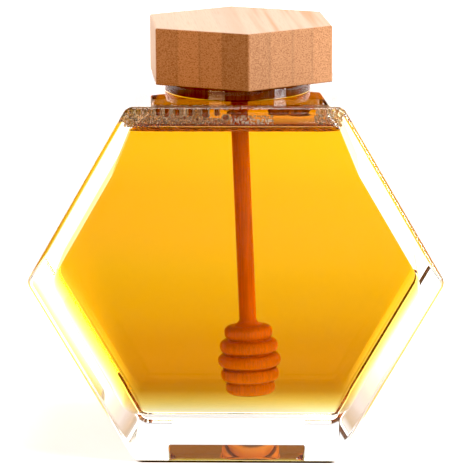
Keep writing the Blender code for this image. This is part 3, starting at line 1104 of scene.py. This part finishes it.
def floor_material():
    """White paper, lit from below, with the honey's amber light behind the jar.

    It is darker in front, painted shade that gives the base its dim strip, and it has a
    painted contact shadow along the jar's lower edges. Places are metres."""
    material, tree, shader = blank_material("Pale floor")
    axes = axes_of(tree, "Object")
    off_x = reckon(tree, 'ABSOLUTE', axes["X"])
    off_y = reckon(tree, 'ABSOLUTE', axes["Y"])
    # Painted contact shadow: a thin dark line on the floor along the jar's lower front
    # and back edges.
    contact_shadow = product(tree, band(tree, off_y, 0.0293, 0.0302, 0.0314, 0.0322),
                      rise(tree, off_x, 0.027, 0.0295, 1.0, 0.0))

    ramp = node(tree, "ValToRGB", {"Fac": product(tree, axes["Y"], 1 / AMBER_SPAN)})
    elements = ramp.color_ramp.elements
    for stop, (metres, tint) in zip(elements, (AMBER_LIGHT[0], AMBER_LIGHT[-1])):
        stop.position = metres / AMBER_SPAN
        stop.color = (*tint, 1)
    for metres, tint in AMBER_LIGHT[1:-1]:
        elements.new(metres / AMBER_SPAN).color = (*tint, 1)
    width = reckon(tree, 'MULTIPLY_ADD', axes["Y"], AMBER_SPREAD, AMBER_HALF)
    across = reckon(tree, 'DIVIDE', off_x, width)
    amber = product(tree, rise(tree, across, 0.7, 0.97, 1.0, 0.0),
                    rise(tree, axes["Y"], 0.005, 0.03))
    # Painted shade: the floor is darker in front of the jar.
    dim = band(tree, axes["Y"], -0.34, -0.24, -0.09, -0.05, 0.35)
    for target, plain in (("Base Color", PAPER), ("Emission Color", WHITE)):
        tint = node(tree, "VectorMath", {0: ramp.outputs["Color"], 1: plain},
                    operation='MULTIPLY').outputs["Vector"]
        paper = mixed(tree, amber, plain, tint)
        paper = mixed(tree, dim, paper, BLACK)
        # The painted contact shadow.
        paper = mixed(tree, contact_shadow, paper, CONTACT_SHADOW)
        feed(tree, shader, {target: paper})
    feed(tree, shader, {"Emission Strength": floor_glow(tree, axes, off_x, contact_shadow),
                        "Roughness": 0.9})
    return material


ROOM = 0.12                   # light from where nothing else shines
ROOM_TINT = (1.0, 0.74, 0.5)
CEILING_TINT = (1.0, 0.62, 0.38)


def studio_world():
    """A white screen behind, a dimmer one on the right and a dim, warm room.

    Numbers are compared with X, Y and Z of a direction, from -1 to 1."""
    world = bpy.data.worlds.new("Studio")
    world.use_nodes = True
    tree = world.node_tree
    axes = axes_of(tree, "Generated")
    back = rise(tree, axes["Y"], 0.15, 0.7)
    low = rise(tree, axes["Z"], 0.35, 0.75, 1.0, 0.4)
    horizon = rise(tree, axes["Z"], 0.22, 0.28, 2.4, 1.0)
    screen = product(tree, back, low, horizon)
    right = product(tree, rise(tree, axes["X"], 0.1, 0.9, 0.0, 0.5),
                    rise(tree, axes["Z"], 0.1, 0.3))
    ceiling = rise(tree, axes["Z"], 0.7, 0.9)
    over = product(tree, ceiling, 0.26)
    light = reckon(tree, 'MAXIMUM', reckon(tree, 'MAXIMUM', screen, right), over)
    light = reckon(tree, 'ADD', light, ROOM)
    warm = mixed(tree, rise(tree, light, ROOM, 0.5), ROOM_TINT, WHITE)
    warm = mixed(tree, ceiling, warm, CEILING_TINT)
    feed(tree, tree.nodes["Background"], {"Color": warm, "Strength": light})
    return world


CAMERA_AZIMUTH = math.radians(1.565)
CAMERA_ELEVATION = math.radians(12.839)
CAMERA_ROLL = math.radians(-0.222)
CAMERA_DISTANCE = 0.7674
CAMERA_TARGET = Vector((-0.000915, 0.0, 0.060332))
CAMERA_LENS = 198.0           # in mm, on a sensor 36 mm wide


def add_camera(scene):
    """The camera, turned round its target by azimuth, elevation and roll."""
    data = bpy.data.cameras.new("camera")
    data.lens = CAMERA_LENS
    data.clip_start = 0.01
    camera = bpy.data.objects.new("camera", data)
    back = Vector((math.sin(CAMERA_AZIMUTH) * math.cos(CAMERA_ELEVATION),
                   -math.cos(CAMERA_AZIMUTH) * math.cos(CAMERA_ELEVATION),
                   math.sin(CAMERA_ELEVATION)))
    right = Vector((math.cos(CAMERA_AZIMUTH), math.sin(CAMERA_AZIMUTH), 0))
    up = back.cross(right)
    level = Matrix((right, up, back)).transposed()
    turn = level @ Matrix.Rotation(CAMERA_ROLL, 3, 'Z')
    camera.matrix_world = Matrix.Translation(
        CAMERA_TARGET + back * CAMERA_DISTANCE) @ turn.to_4x4()
    scene.collection.objects.link(camera)
    scene.camera = camera


class HONEYJAR_PT_panel(bpy.types.Panel):
    """Lists the steps that build the honey jar"""
    bl_idname = "HONEYJAR_PT_panel"
    bl_label = "Honey Jar"
    bl_space_type = 'VIEW_3D'
    bl_region_type = 'UI'
    bl_category = "Honey Jar"

    def draw(self, context):
        for operator in OPERATORS:
            self.layout.operator(operator.bl_idname)


SETTINGS = (JarSettings, HoneySettings, DipperSettings, LidSettings,
            HoneyJarSettings)
OPERATORS = (HONEYJAR_OT_glass, HONEYJAR_OT_honey, HONEYJAR_OT_foam,
             HONEYJAR_OT_dipper, HONEYJAR_OT_lid, HONEYJAR_OT_stage)


def register():
    for part in SETTINGS + OPERATORS + (HONEYJAR_PT_panel,):
        bpy.utils.register_class(part)
    bpy.types.Scene.honey_jar = PointerProperty(type=HoneyJarSettings)


def unregister():
    del bpy.types.Scene.honey_jar
    for part in reversed(SETTINGS + OPERATORS + (HONEYJAR_PT_panel,)):
        bpy.utils.unregister_class(part)


def main():
    """Build the whole jar."""
    register()
    bpy.ops.honeyjar.glass()
    bpy.ops.honeyjar.honey()
    bpy.ops.honeyjar.foam()
    bpy.ops.honeyjar.dipper()
    bpy.ops.honeyjar.lid()
    bpy.ops.honeyjar.stage()


if __name__ == "__main__":
    main()
